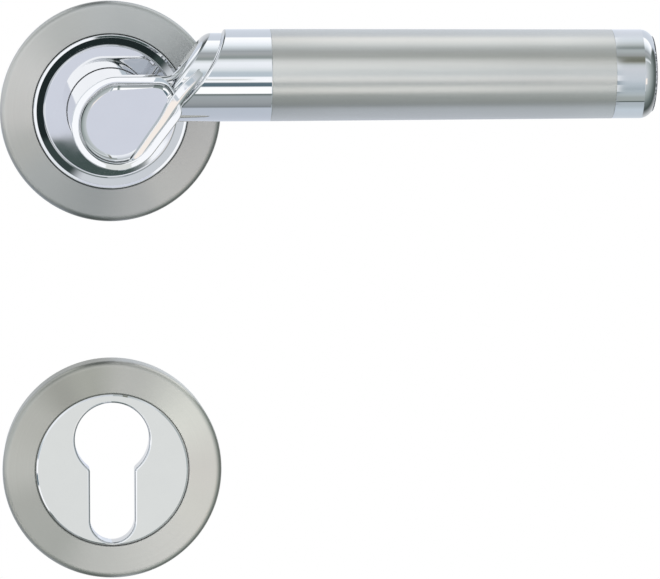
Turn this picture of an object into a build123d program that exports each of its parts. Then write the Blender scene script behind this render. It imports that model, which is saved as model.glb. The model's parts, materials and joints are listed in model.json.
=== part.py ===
from build123d import *
from math import asin, cos, degrees, radians, sin
import os

# Door lever handle on a round rose, with the matching round escutcheon for a profile cylinder.
#
# Frame: millimetres. The door's face is the plane Y = 0. The hand is on the -Y side, +X runs
# along the grip and +Z is up. The origin is where the spindle's axis meets the door's face.
# Heights are measured from the door's face towards the hand, so a height h lies at Y = -h.

# ---------------------------------------------------------------- driving dimensions

# both roses
ROSE_RADIUS = 26.0            # outside of the satin ring
ROSE_HEIGHT = 10.0            # front of the ring over the door
RING_WALL = 1.2               # wall of the pressed ring
RING_EDGE_ROUND = 2.2         # rounded outer edge of the ring
RING_BORE_ROUND = 0.25        # broken edge of the ring's bore
INSERT_RADIUS = 18.0          # chrome insert inside the ring
INSERT_SHEET = 0.8            # thickness of the insert's flange and floor
INSERT_GAP = 0.12             # dark line between the insert and the ring
PLATE_THICKNESS = 2.0         # back plate of the mounting bases
RIM_WALL = 2.0                # outer wall of the mounting bases
FIT_GAP = 0.05                # radial room between pieces that push together

# dish round the lever's hub
LIP_WIDTH = 0.7               # flat lip at the dish's edge
LIP_PROUD = 0.3               # lip over the ring's front
COVE_RUN = 1.9                # width of the hollow round from the lip down to the floor
FLOOR_FACE = 8.8              # height of the dish's floor

# hub and bearing
HUB_RADIUS = 10.15
LINER_WALL = 0.3              # nylon ring between the hub and the dish
LINER_PROUD = 0.25            # the ring's edge over the dish's floor
SHANK_RADIUS = 8.0
SHANK_END = 0.15              # the shank stops just short of the door's face
RUNNING_GAP = 0.06            # radial clearance of every turning fit
END_FLOAT = 0.08              # axial clearance of the turning parts
BUSH_WALL = 1.5
BUSH_FLANGE = 0.6
BOSS_WALL = 3.4               # wall of the boss round the bush
BOSS_HEIGHT = 5.5
POCKET_DEPTH = 2.4            # pocket behind the boss, for the washer and the clip
POCKET_WALL = 1.6             # left between the pocket and the boss's outside
CLIP_THICKNESS = 1.0
CLIP_GROOVE = 0.7             # depth of the clip's groove in the shank
CLIP_MOUTH = 50.0             # opening of the clip, degrees
WASHER_THICKNESS = 0.6
KEY_DEPTH = 1.5               # depth of the two flats that turn the spring driver

# return spring and its driver
DRIVER_THICKNESS = 1.4
SPRING_ROOM = 0.45            # room between the boss and the coil
SPRING_WIRE = 1.4
SPRING_TURNS = 1.6
SPRING_BEND = 1.5             # radius at which each leg bends off the coil
SPRING_LEG = 3.0              # reach of a leg past the coil's centre line
SPRING_LEG_ROOM = 0.4         # degrees between a leg and what it presses on
LEVER_TRAVEL = 45.0           # degrees, from level down to the lower stop
TAB_ANGLE = 14.0              # width of the driver's tab, degrees
TAB_ROOM = 0.8                # between the coil and the tab
TAB_WALL = 1.8
TAB_DROP = 2.8                # how far the tab reaches down past the driver
STOP_ANGLE = 12.0             # width of each stop post, degrees
STOP_CLEARANCE = 0.6          # degrees left between tab and post at each end
STOP_HEIGHT = 5.3

# spindle and fasteners
SPINDLE_SIDE = 8.0            # square spindle
SPINDLE_IN_HUB = 35.0
SPINDLE_TAIL = 60.0           # reach into the door
SOCKET_GAP = 0.05
GRUB_RADIUS = 3.0
GRUB_HEIGHT = 16.0            # height of the grub screw over the door
GRUB_SET_BACK = 0.7           # sunk below the hub's skin
GRUB_HEX = 3.0
GRUB_HEX_DEPTH = 2.5
FIXING_PITCH = 38.0           # between the two fixings of each base
LUG_RADIUS = 3.75
LUG_LENGTH = 6.0
BOLT_RADIUS = 2.0             # over its thread
BOLT_WAIST = 1.8              # plain shank between the head and the thread
BOLT_THREAD_GAP = 0.5         # the thread starts this far past the lug
BOLT_HOLE_GAP = 0.15
BOLT_LENGTH = 50.0
BOLT_HEAD_RADIUS = 3.5
BOLT_HEAD_HEIGHT = 2.4
BOLT_HEX = 2.5
BOLT_HEX_DEPTH = 1.3
SCREW_RADIUS = 1.75
SCREW_LENGTH = 22.0
SCREW_POINT = 5.0
SCREW_HEAD_RADIUS = 3.4
SCREW_HEAD_HEIGHT = 1.5

# lever
LEVER_REACH = 122.0           # spindle axis to the tip
GRIP_HEIGHT = 53.0            # height of the grip's axis over the door
GRIP_RISE = 10.4              # grip's axis above the spindle's axis
GRIP_RADIUS = 10.3            # collar and the sleeve's inner end
GRIP_TAPER = 0.3              # the cap's radius is this much less
COLLAR_END = 34.4             # where the satin sleeve starts
CAP_LENGTH = 10.7
CAP_EDGE_ROUND = 3.0
SLEEVE_WALL = 1.6
SPIGOT_LENGTH = 14.0
CAP_SPIGOT_LENGTH = 9.0
STUD_RADIUS = 3.0
STUD_IN_NECK = 8.0
STUD_IN_CAP = 12.0
NECK_STEP = 0.85              # the neck is this much slimmer than the collar
NECK_EDGE_GAP = 2.75          # the neck's slanting left side, out from the hub at the grip's axis
NECK_EDGE_TILT = 52.6         # its slope, degrees from the horizontal
COLLAR_EDGE_GAP = 6.2         # the collar's slanting edge, out from the neck's
COLLAR_EDGE_TILT = 60.0
FACE_SET_BACK = 0.4           # front of the loop behind the front of the grip
LOOP_FLOOR_DEPTH = 1.6        # the loop's floor behind its front
LOOP_TIP_RADIUS = 1.0
LOOP_TIP_GAP = 1.7            # the loop's point, in from the neck's left side
RIBBON_WIDTH = 1.4            # raised ribbon round the loop
RIBBON_STANDS = 0.45          # its straight upper strand over the round of the hub
RIBBON_DEPTH = 12.0           # depth of that strand
STRAND_WIDTH = 2.2            # the strand that crosses the loop's lower right
STRAND_SET_IN = 1.3           # its outer edge inside the round of the hub
STRAND_TILT = 53.0            # its slope, degrees from the horizontal

# escutcheon
ESCUTCHEON_DROP = 84.4        # its centre below the spindle's axis
CYLINDER_RADIUS = 8.75        # round part of the profile cut-out
CYLINDER_SLOT = 10.5          # width of its lower slot
CYLINDER_TALL = 33.1          # whole height of the cut-out
CYLINDER_DROP = 77.3          # key axis below the spindle's axis
CYLINDER_CORNER = 1.2         # rounded shoulders between round part and slot
KEYHOLE_COLLAR = 0.8          # wall of the collar behind the cut-out
KEYHOLE_COLLAR_DEPTH = 4.0
INSERT_BEVEL = 0.6            # sloped edge of the flat insert
INSERT_SUNK = 0.25            # flat insert below the ring's front

# ---------------------------------------------------------------- worked out from them

base_radius = ROSE_RADIUS - RING_WALL - FIT_GAP
flange_seat = FLOOR_FACE - INSERT_SHEET
bush_outer = SHANK_RADIUS + RUNNING_GAP + BUSH_WALL
bush_bore = SHANK_RADIUS + RUNNING_GAP
boss_radius = bush_outer + BOSS_WALL
pocket_radius = boss_radius - POCKET_WALL
key_flats = 2 * (SHANK_RADIUS - KEY_DEPTH)
driver_low = BOSS_HEIGHT + BUSH_FLANGE + END_FLOAT
driver_high = driver_low + DRIVER_THICKNESS
washer_high = POCKET_DEPTH - END_FLOAT
washer_low = washer_high - WASHER_THICKNESS
clip_low = washer_low - CLIP_THICKNESS
spring_radius = boss_radius + SPRING_ROOM + SPRING_WIRE / 2
tab_inner = spring_radius + SPRING_WIRE / 2 + TAB_ROOM
driver_radius = tab_inner + TAB_WALL
fixing_x = FIXING_PITCH / 2
cap_start = LEVER_REACH - CAP_LENGTH
tip_radius = GRIP_RADIUS - GRIP_TAPER
spigot_radius = tip_radius - SLEEVE_WALL - FIT_GAP
neck_radius = GRIP_RADIUS - NECK_STEP
face_height = GRIP_HEIGHT + GRIP_RADIUS - FACE_SET_BACK
ribbon_top = HUB_RADIUS + RIBBON_STANDS
neck_edge = HUB_RADIUS + NECK_EDGE_GAP
collar_edge = neck_edge + COLLAR_EDGE_GAP
key_rise = -CYLINDER_DROP
cylinder_foot = key_rise + CYLINDER_RADIUS - CYLINDER_TALL + CYLINDER_SLOT / 2

# angles of the driver's tab, counter-clockwise from +X as the hand sees the rose
tab_rest = 90 + LEVER_TRAVEL / 2
tab_down = 90 - LEVER_TRAVEL / 2


# ---------------------------------------------------------------- helpers

def disc(radius, low, high, x=0.0, z=0.0):
    """Cylinder square to the door, between two heights."""
    stock = Cylinder(radius, high - low, align=(Align.CENTER, Align.CENTER, Align.MIN))
    return Pos(x, -low, z) * Rot(90, 0, 0) * stock


def ring(inner, outer, low, high, x=0.0, z=0.0):
    """Flat ring square to the door."""
    return disc(outer, low, high, x, z) - disc(inner, low - 1, high + 1, x, z)


def plate(sketch, low, high):
    """Outline in X and Z, carried from one height to the other."""
    return extrude(Plane.XZ.offset(low) * sketch, amount=high - low)


def rod(radius, start, end):
    """Round bar on the grip's axis."""
    stock = Cylinder(radius, end - start, align=(Align.CENTER, Align.CENTER, Align.MIN))
    return Pos(start, -GRIP_HEIGHT, GRIP_RISE) * Rot(0, 90, 0) * stock


def tapered_rod(start_radius, end_radius, start, end):
    """Round bar on the grip's axis that narrows towards the tip."""
    stock = Cone(start_radius, end_radius, end - start,
                 align=(Align.CENTER, Align.CENTER, Align.MIN))
    return Pos(start, -GRIP_HEIGHT, GRIP_RISE) * Rot(0, 90, 0) * stock


def round_edges(body, radius, height, x=0.0, z=0.0):
    """The circular edges of a turned body at one radius and height."""
    found = []
    for edge in body.edges().filter_by(GeomType.CIRCLE):
        place = edge.arc_center
        off_axis = abs(place.X - x) + abs(place.Z - z)
        if abs(edge.radius - radius) < 0.01 and abs(place.Y + height) < 0.01 and off_axis < 0.01:
            found.append(edge)
    return found


def sector(inner, outer, low, high, middle, width):
    """Part of a ring between two angles."""
    reach = outer * 2
    sides = [middle - width / 2, middle + width / 2]
    corners = [(0, 0)]
    corners += [(reach * cos(radians(side)), reach * sin(radians(side))) for side in sides]
    wedge = make_face(Polyline(corners, close=True))
    return ring(inner, outer, low, high) & plate(wedge, low, high)


def hexagon_hole(across, low, high, x=0.0, z=0.0):
    """Socket for a hexagon key, square to the door."""
    return plate(Pos(x, z) * RegularPolygon(across / 2, 6, major_radius=False), low, high)


def left_of(x, z, tilt):
    """Block on the left of a slanting line through (x, z), through the whole lever."""
    size = 2 * LEVER_REACH
    slab = Pos(-size / 2, 0) * Rectangle(size, 2 * size)
    return plate(Pos(x, z) * Rot(0, 0, tilt - 90) * slab, 0, 2 * GRIP_HEIGHT)


# ---------------------------------------------------------------- rose of the lever

def rose_base():
    """Cast base: plate, outer wall, bush boss, stop posts, spring post and two hollow lugs."""
    body = disc(base_radius, 0, flange_seat)
    body -= ring(boss_radius, base_radius - RIM_WALL, PLATE_THICKNESS, flange_seat + 1)
    body -= disc(boss_radius, BOSS_HEIGHT, flange_seat + 1)
    body -= disc(bush_outer + FIT_GAP / 2, -1, BOSS_HEIGHT + 1)
    body -= disc(pocket_radius, -1, POCKET_DEPTH)
    reach = (TAB_ANGLE + STOP_ANGLE) / 2 + STOP_CLEARANCE
    for angle in (tab_rest + reach, tab_down - reach):
        body += sector(tab_inner, driver_radius, PLATE_THICKNESS, STOP_HEIGHT, angle, STOP_ANGLE)
    spring_post = spring_start() - leg_half_angle() - STOP_ANGLE / 2
    body += sector(tab_inner, driver_radius, PLATE_THICKNESS, STOP_HEIGHT,
                   spring_post, STOP_ANGLE)
    for side in (-fixing_x, fixing_x):
        body += disc(LUG_RADIUS, -LUG_LENGTH, 0, side)
        body -= disc(BOLT_RADIUS + BOLT_HOLE_GAP, -LUG_LENGTH - 1, PLATE_THICKNESS + 1, side)
    return body


def bearing_bush():
    """Flanged nylon bush that the lever's shank turns in."""
    body = disc(bush_outer, POCKET_DEPTH, BOSS_HEIGHT)
    body += disc(bush_outer + BUSH_WALL, BOSS_HEIGHT, BOSS_HEIGHT + BUSH_FLANGE)
    return body - disc(bush_bore, 0, ROSE_HEIGHT)


def leg_half_angle():
    """Angle from the coil's end to what its leg presses on, with the leg's room."""
    return degrees(asin((SPRING_BEND + SPRING_WIRE / 2) / tab_inner)) + SPRING_LEG_ROOM


def spring_end():
    """Angle of the spring's moving leg, beside the driver's tab."""
    return tab_rest - TAB_ANGLE / 2 - leg_half_angle()


def spring_start():
    """Angle of the spring's fixed leg, beside its post."""
    return spring_end() - 360 * SPRING_TURNS + 720


def return_spring():
    """Torsion spring round the boss: one wire, with a leg that bends off outwards at each end."""
    low = PLATE_THICKNESS + SPRING_WIRE / 2 + END_FLOAT
    high = driver_low - SPRING_WIRE / 2 - END_FLOAT
    coil = Helix((high - low) / SPRING_TURNS, high - low, spring_radius)
    legs = []
    for point, along in ((coil @ 0, -(coil % 0)), (coil @ 1, coil % 1)):
        out = Vector(point.X, point.Y, 0).normalized()
        knee = point + (out + along) * SPRING_BEND
        middle = point + along * SPRING_BEND * sin(radians(45))
        middle += out * SPRING_BEND * (1 - cos(radians(45)))
        legs.append((ThreePointArc(point, middle, knee),
                     Line(knee, point + along * SPRING_BEND + out * SPRING_LEG)))
    (first_bend, first_leg), (last_bend, last_leg) = legs
    path = Wire([first_leg, first_bend, coil, last_bend, last_leg])
    section = Plane(path @ 0, z_dir=path % 0) * Circle(SPRING_WIRE / 2)
    body = Rot(0, -spring_start(), 0) * Pos(0, -low, 0) * Rot(90, 0, 0) * sweep(section, path=path)
    return body


def spring_driver():
    """Steel disc keyed on the shank, with the tab that bends the spring and meets the stops."""
    body = disc(driver_radius, driver_low, driver_high)
    body += sector(tab_inner, driver_radius, driver_low - TAB_DROP, driver_low + 0.1,
                   tab_rest, TAB_ANGLE)
    return body - keyed_shank(driver_low - 1, driver_high + 1, FIT_GAP / 2)


def rose_insert():
    """Polished dish: flange under the ring, lip, hollow round and flat floor with a hub hole."""
    hole = HUB_RADIUS + RUNNING_GAP + LINER_WALL + FIT_GAP
    lip_high = ROSE_HEIGHT + LIP_PROUD
    lip_inner = INSERT_RADIUS - LIP_WIDTH
    floor_edge = lip_inner - COVE_RUN
    outline = Polyline((hole, -FLOOR_FACE), (hole, -flange_seat), (base_radius, -flange_seat),
                       (base_radius, -FLOOR_FACE), (INSERT_RADIUS, -FLOOR_FACE),
                       (INSERT_RADIUS, -lip_high), (lip_inner, -lip_high))
    outline += TangentArc((floor_edge, -FLOOR_FACE), (lip_inner, -lip_high), tangent=(1, 0))
    outline += Line((floor_edge, -FLOOR_FACE), (hole, -FLOOR_FACE))
    return revolve(make_face(outline), Axis.Y)


def neck_liner():
    """Nylon ring in the dish that keeps the turning hub off the chrome."""
    inner = HUB_RADIUS + RUNNING_GAP
    return ring(inner, inner + LINER_WALL, flange_seat, FLOOR_FACE + LINER_PROUD)


def satin_ring(z=0.0):
    """Pressed ring with a flat front, a rounded outer edge and a bore for the insert."""
    bore = INSERT_RADIUS + INSERT_GAP
    body = disc(ROSE_RADIUS, 0, ROSE_HEIGHT, 0, z)
    body -= disc(ROSE_RADIUS - RING_WALL, -1, FLOOR_FACE, 0, z)
    body -= disc(bore, -1, ROSE_HEIGHT + 1, 0, z)
    body = fillet(round_edges(body, ROSE_RADIUS, ROSE_HEIGHT, 0, z), RING_EDGE_ROUND)
    return fillet(round_edges(body, bore, ROSE_HEIGHT, 0, z), RING_BORE_ROUND)


def fixing_bolts():
    """Two machine bolts through the base, the lugs and the door."""
    bolts = []
    head_high = PLATE_THICKNESS + BOLT_HEAD_HEIGHT
    thread_high = -LUG_LENGTH - BOLT_THREAD_GAP
    for side in (-fixing_x, fixing_x):
        bolt = disc(BOLT_RADIUS, PLATE_THICKNESS - BOLT_LENGTH, thread_high, side)
        bolt += disc(BOLT_WAIST, thread_high, PLATE_THICKNESS, side)
        bolt += disc(BOLT_HEAD_RADIUS, PLATE_THICKNESS, head_high, side)
        bolt = fillet(round_edges(bolt, BOLT_HEAD_RADIUS, head_high, side), 0.5)
        bolt -= hexagon_hole(BOLT_HEX, head_high - BOLT_HEX_DEPTH, head_high + 1, side)
        bolts.append(bolt)
    return Compound(children=bolts)


# ---------------------------------------------------------------- lever

def keyed_shank(low, high, gap=0.0):
    """Round shank with two flats, as the driver's hole sees it."""
    flats = plate(Rectangle(4 * SHANK_RADIUS, key_flats + 2 * gap), low, high)
    return disc(SHANK_RADIUS + gap, low, high) & flats


def loop_pocket():
    """The sunk floor inside the ribbon: a drop shape that points at the grip."""
    tip = Pos(neck_edge - LOOP_TIP_GAP, ribbon_top - RIBBON_WIDTH - LOOP_TIP_RADIUS)
    round_end = Circle(HUB_RADIUS - RIBBON_WIDTH)
    drop = make_hull((round_end + tip * Circle(LOOP_TIP_RADIUS)).edges())
    strand_inner = HUB_RADIUS - STRAND_SET_IN - STRAND_WIDTH
    tilt = radians(STRAND_TILT)
    side = left_of(strand_inner * sin(tilt), -strand_inner * cos(tilt), STRAND_TILT)
    return plate(drop, face_height - LOOP_FLOOR_DEPTH, face_height + 1) & side


def neck_shell():
    """Hub, ribbon web, slim neck and full collar as one casting, before its holes are made."""
    body = disc(HUB_RADIUS, driver_high, face_height)
    web = Polyline((0, 0), (0, ribbon_top - RIBBON_STANDS), (HUB_RADIUS / 4, ribbon_top),
                   (neck_edge, ribbon_top), (neck_edge + RIBBON_WIDTH, ribbon_top / 2),
                   (HUB_RADIUS, 0), close=True)
    body += plate(make_face(web), face_height - RIBBON_DEPTH, face_height)
    body += rod(neck_radius, 0, COLLAR_END) - left_of(neck_edge, GRIP_RISE, NECK_EDGE_TILT)
    body += rod(GRIP_RADIUS, 0, COLLAR_END) - left_of(collar_edge, GRIP_RISE, COLLAR_EDGE_TILT)
    return body


def lever_neck():
    """Chrome casting: keyed shank, hub, loop, collar and the spigot for the sleeve."""
    body = neck_shell() - loop_pocket()
    body += disc(SHANK_RADIUS, SHANK_END, driver_low)
    body += keyed_shank(driver_low, driver_high)
    body += rod(spigot_radius, COLLAR_END, COLLAR_END + SPIGOT_LENGTH)
    body -= ring(SHANK_RADIUS - CLIP_GROOVE, SHANK_RADIUS + 1, clip_low, washer_low)
    socket = SPINDLE_SIDE + 2 * SOCKET_GAP
    body -= plate(Rectangle(socket, socket), -1, SPINDLE_IN_HUB + SOCKET_GAP)
    grub_bore = Cylinder(GRUB_RADIUS + FIT_GAP / 2, HUB_RADIUS,
                         align=(Align.CENTER, Align.CENTER, Align.MAX))
    body -= Pos(0, -GRUB_HEIGHT, 0) * grub_bore
    stud_bore = STUD_RADIUS + FIT_GAP / 2
    return body - rod(stud_bore, COLLAR_END - STUD_IN_NECK, COLLAR_END + SPIGOT_LENGTH + 1)


def grip_sleeve():
    """Satin sleeve, tapered outside and straight inside."""
    body = tapered_rod(GRIP_RADIUS, tip_radius, COLLAR_END, cap_start)
    return body - rod(spigot_radius + FIT_GAP, COLLAR_END - 1, cap_start + 1)


def end_cap():
    """Polished cap with a rounded end and a spigot inside the sleeve."""
    body = rod(tip_radius, cap_start, LEVER_REACH)
    body = fillet(body.edges().filter_by(GeomType.CIRCLE).sort_by(Axis.X)[-1], CAP_EDGE_ROUND)
    body += rod(spigot_radius, cap_start - CAP_SPIGOT_LENGTH, cap_start)
    stud_end = cap_start - CAP_SPIGOT_LENGTH + STUD_IN_CAP
    return body - rod(STUD_RADIUS + FIT_GAP / 2, cap_start - CAP_SPIGOT_LENGTH - 1,
                      stud_end + FIT_GAP)


def tie_stud():
    """Threaded stud that draws the cap and the sleeve against the collar."""
    start = COLLAR_END - STUD_IN_NECK + FIT_GAP
    return rod(STUD_RADIUS, start, cap_start - CAP_SPIGOT_LENGTH + STUD_IN_CAP)


def wave_washer():
    """Washer between the clip and the boss, shown flat."""
    return ring(SHANK_RADIUS + FIT_GAP, pocket_radius - 0.6, washer_low, washer_high)


def retaining_ring():
    """Open clip in the shank's groove that keeps the lever in the rose."""
    inner = SHANK_RADIUS - CLIP_GROOVE + FIT_GAP
    body = ring(inner, SHANK_RADIUS + 1.6, clip_low, washer_low)
    body -= sector(inner - 1, SHANK_RADIUS + 3, clip_low - 1, washer_low + 1, -90, CLIP_MOUTH)
    for side in (-1, 1):
        angle = radians(-90 + side * (CLIP_MOUTH / 2 + 9))
        middle = SHANK_RADIUS + 1.0
        ear = disc(1.5, clip_low, washer_low, middle * cos(angle), middle * sin(angle))
        ear -= disc(inner, clip_low - 1, washer_low + 1)
        body += ear
        body -= disc(0.6, clip_low - 1, washer_low + 1,
                     (middle + 0.3) * cos(angle), (middle + 0.3) * sin(angle))
    return body


def spindle():
    """Square steel spindle from inside the hub through the lock."""
    bar = plate(Rectangle(SPINDLE_SIDE, SPINDLE_SIDE), -SPINDLE_TAIL, SPINDLE_IN_HUB)
    return chamfer(bar.faces().sort_by(Axis.Y)[-1].edges(), 0.6)


def grub_screw():
    """Socket set screw under the hub that grips the spindle."""
    low = -HUB_RADIUS + GRUB_SET_BACK
    high = -SPINDLE_SIDE / 2 - FIT_GAP / 2
    stock = Cylinder(GRUB_RADIUS, high - low, align=(Align.CENTER, Align.CENTER, Align.MIN))
    body = Pos(0, -GRUB_HEIGHT, low) * stock
    key = extrude(RegularPolygon(GRUB_HEX / 2, 6, major_radius=False), amount=GRUB_HEX_DEPTH)
    return body - Pos(0, -GRUB_HEIGHT, low) * key


# ---------------------------------------------------------------- escutcheon

def profile_outline(wider=0.0):
    """Profile-cylinder shape: a round part with a narrower slot below it."""
    slot_radius = CYLINDER_SLOT / 2
    round_part = Pos(0, key_rise) * Circle(CYLINDER_RADIUS)
    slot = Pos(0, (key_rise + cylinder_foot) / 2) * Rectangle(CYLINDER_SLOT,
                                                              key_rise - cylinder_foot)
    shape = round_part + slot + Pos(0, cylinder_foot) * Circle(slot_radius)
    shoulders = []
    for corner in shape.vertices():
        off_slot = abs(abs(corner.X) - slot_radius)
        if off_slot < 0.01 and corner.Y > cylinder_foot + 1:
            shoulders.append(corner)
    shape = fillet(shoulders, CYLINDER_CORNER)
    return offset(shape, wider, kind=Kind.ARC) if wider else shape


def escutcheon_base():
    """Moulded base: plate, outer wall, wall round the cut-out and two screw bosses."""
    z = -ESCUTCHEON_DROP
    room = KEYHOLE_COLLAR + FIT_GAP
    body = disc(base_radius, 0, flange_seat, 0, z)
    body -= disc(base_radius - RIM_WALL, PLATE_THICKNESS, flange_seat + 1, 0, z)
    body += plate(profile_outline(room + RIM_WALL), 0, flange_seat)
    for side in (-fixing_x, fixing_x):
        body += disc(SCREW_HEAD_RADIUS + 1.0, 0, PLATE_THICKNESS + 1.0, side, z)
    body &= disc(base_radius, 0, flange_seat, 0, z)
    body -= plate(profile_outline(room), -1, flange_seat + 1)
    for side in (-fixing_x, fixing_x):
        body -= screw_stock(side, z, BOLT_HOLE_GAP)
    return body


def screw_stock(x, z, gap=0.0):
    """Countersunk screw's outer form, grown by a gap for its hole."""
    top = PLATE_THICKNESS + 1.0
    neck = top - SCREW_HEAD_HEIGHT
    head = Cone(SCREW_RADIUS + gap, SCREW_HEAD_RADIUS + gap, SCREW_HEAD_HEIGHT,
                align=(Align.CENTER, Align.CENTER, Align.MIN))
    body = Pos(x, -neck, z) * Rot(90, 0, 0) * head
    body += disc(SCREW_RADIUS + gap, top - SCREW_LENGTH + SCREW_POINT, neck, x, z)
    point = Cone(0.2 + gap, SCREW_RADIUS + gap, SCREW_POINT,
                 align=(Align.CENTER, Align.CENTER, Align.MIN))
    return body + Pos(x, SCREW_LENGTH - top, z) * Rot(90, 0, 0) * point


def escutcheon_screws():
    """Two countersunk wood screws with cross slots."""
    z = -ESCUTCHEON_DROP
    top = PLATE_THICKNESS + 1.0
    screws = []
    for side in (-fixing_x, fixing_x):
        cross = Rectangle(3.6, 0.8) + Rectangle(0.8, 3.6)
        screws.append(screw_stock(side, z) - plate(Pos(side, z) * cross, top - 0.9, top + 1))
    return Compound(children=screws)


def escutcheon_insert():
    """Polished disc with a sloped edge and the profile cut-out, on a flange under the ring."""
    z = -ESCUTCHEON_DROP
    face = ROSE_HEIGHT - INSERT_SUNK
    body = disc(INSERT_RADIUS, flange_seat, face, 0, z)
    body = chamfer(round_edges(body, INSERT_RADIUS, face, 0, z), INSERT_BEVEL)
    body += disc(base_radius, flange_seat, FLOOR_FACE, 0, z)
    body += plate(profile_outline(KEYHOLE_COLLAR), flange_seat - KEYHOLE_COLLAR_DEPTH, FLOOR_FACE)
    return body - plate(profile_outline(), -1, ROSE_HEIGHT + 1)


# ---------------------------------------------------------------- one file per piece

NODES = {
    "rose_base": rose_base,
    "bearing_bush": bearing_bush,
    "return_spring": return_spring,
    "spring_driver": spring_driver,
    "rose_insert": rose_insert,
    "neck_liner": neck_liner,
    "rose_ring": satin_ring,
    "fixing_bolts": fixing_bolts,
    "lever_neck": lever_neck,
    "grip_sleeve": grip_sleeve,
    "end_cap": end_cap,
    "tie_stud": tie_stud,
    "wave_washer": wave_washer,
    "retaining_ring": retaining_ring,
    "spindle": spindle,
    "grub_screw": grub_screw,
    "escutcheon_base": escutcheon_base,
    "escutcheon_screws": escutcheon_screws,
    "escutcheon_insert": escutcheon_insert,
    "escutcheon_ring": lambda: satin_ring(-ESCUTCHEON_DROP),
}

os.makedirs("parts", exist_ok=True)
for name, make in NODES.items():
    export_step(make(), f"parts/{name}.step")
    print("wrote", name)
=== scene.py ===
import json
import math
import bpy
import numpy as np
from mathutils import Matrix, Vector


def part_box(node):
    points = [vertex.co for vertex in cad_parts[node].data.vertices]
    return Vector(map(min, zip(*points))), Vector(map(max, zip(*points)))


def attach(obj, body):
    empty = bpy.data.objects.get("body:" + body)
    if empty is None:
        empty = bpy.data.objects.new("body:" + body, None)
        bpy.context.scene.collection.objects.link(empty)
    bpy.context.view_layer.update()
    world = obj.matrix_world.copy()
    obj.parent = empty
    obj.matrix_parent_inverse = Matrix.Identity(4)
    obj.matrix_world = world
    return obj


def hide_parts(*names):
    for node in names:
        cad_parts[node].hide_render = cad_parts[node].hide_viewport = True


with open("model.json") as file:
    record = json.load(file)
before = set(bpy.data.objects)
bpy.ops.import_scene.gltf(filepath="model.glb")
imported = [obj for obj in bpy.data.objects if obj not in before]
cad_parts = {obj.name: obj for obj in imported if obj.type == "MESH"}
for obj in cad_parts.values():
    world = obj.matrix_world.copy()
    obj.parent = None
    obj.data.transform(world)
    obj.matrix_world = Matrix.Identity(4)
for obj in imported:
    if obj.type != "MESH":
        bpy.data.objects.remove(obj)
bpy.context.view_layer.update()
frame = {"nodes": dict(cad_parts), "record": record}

# %% [markdown]
# A door lever handle: a polished and satin bar that turns in a round rose, with a matching round
# escutcheon below it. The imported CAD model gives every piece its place. Its small hidden pieces
# stay as they are and only get a finish. The mirror-bright outer pieces are made again here,
# because a mirror shows every flat facet of an exported CAD mesh, so they need a much finer and
# smoother surface than the frame carries.

MM = 0.001
ROSE_LOW, ROSE_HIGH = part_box("rose_ring")
LOCK_LOW, LOCK_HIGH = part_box("escutcheon_ring")
SLEEVE_LOW, SLEEVE_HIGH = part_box("grip_sleeve")
CAP_LOW, CAP_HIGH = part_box("end_cap")
NECK_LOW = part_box("lever_neck")[0]
rose_radius = (ROSE_HIGH.x - ROSE_LOW.x) / 2
rose_height = -ROSE_LOW.y
lock_drop = (LOCK_LOW.z + LOCK_HIGH.z) / 2
hub_radius = -NECK_LOW.x
bar_radius = (SLEEVE_HIGH.z - SLEEVE_LOW.z) / 2
bar_rise = (SLEEVE_HIGH.z + SLEEVE_LOW.z) / 2
bar_height = -(SLEEVE_HIGH.y + SLEEVE_LOW.y) / 2
collar_end, cap_start, tip = SLEEVE_LOW.x, SLEEVE_HIGH.x, CAP_HIGH.x
print("rose radius", rose_radius, "bar radius", bar_radius, "bar height", bar_height)

# %% [markdown]
# Every new surface is a grid of points: one direction runs round the piece and the other along
# its profile. A grid whose profile ends on the axis is closed there with a single point, a pole,
# and a grid whose profile comes back to its start is closed like a tyre. The same grid numbers
# give the UV map, which carries the direction of brushing later.


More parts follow.
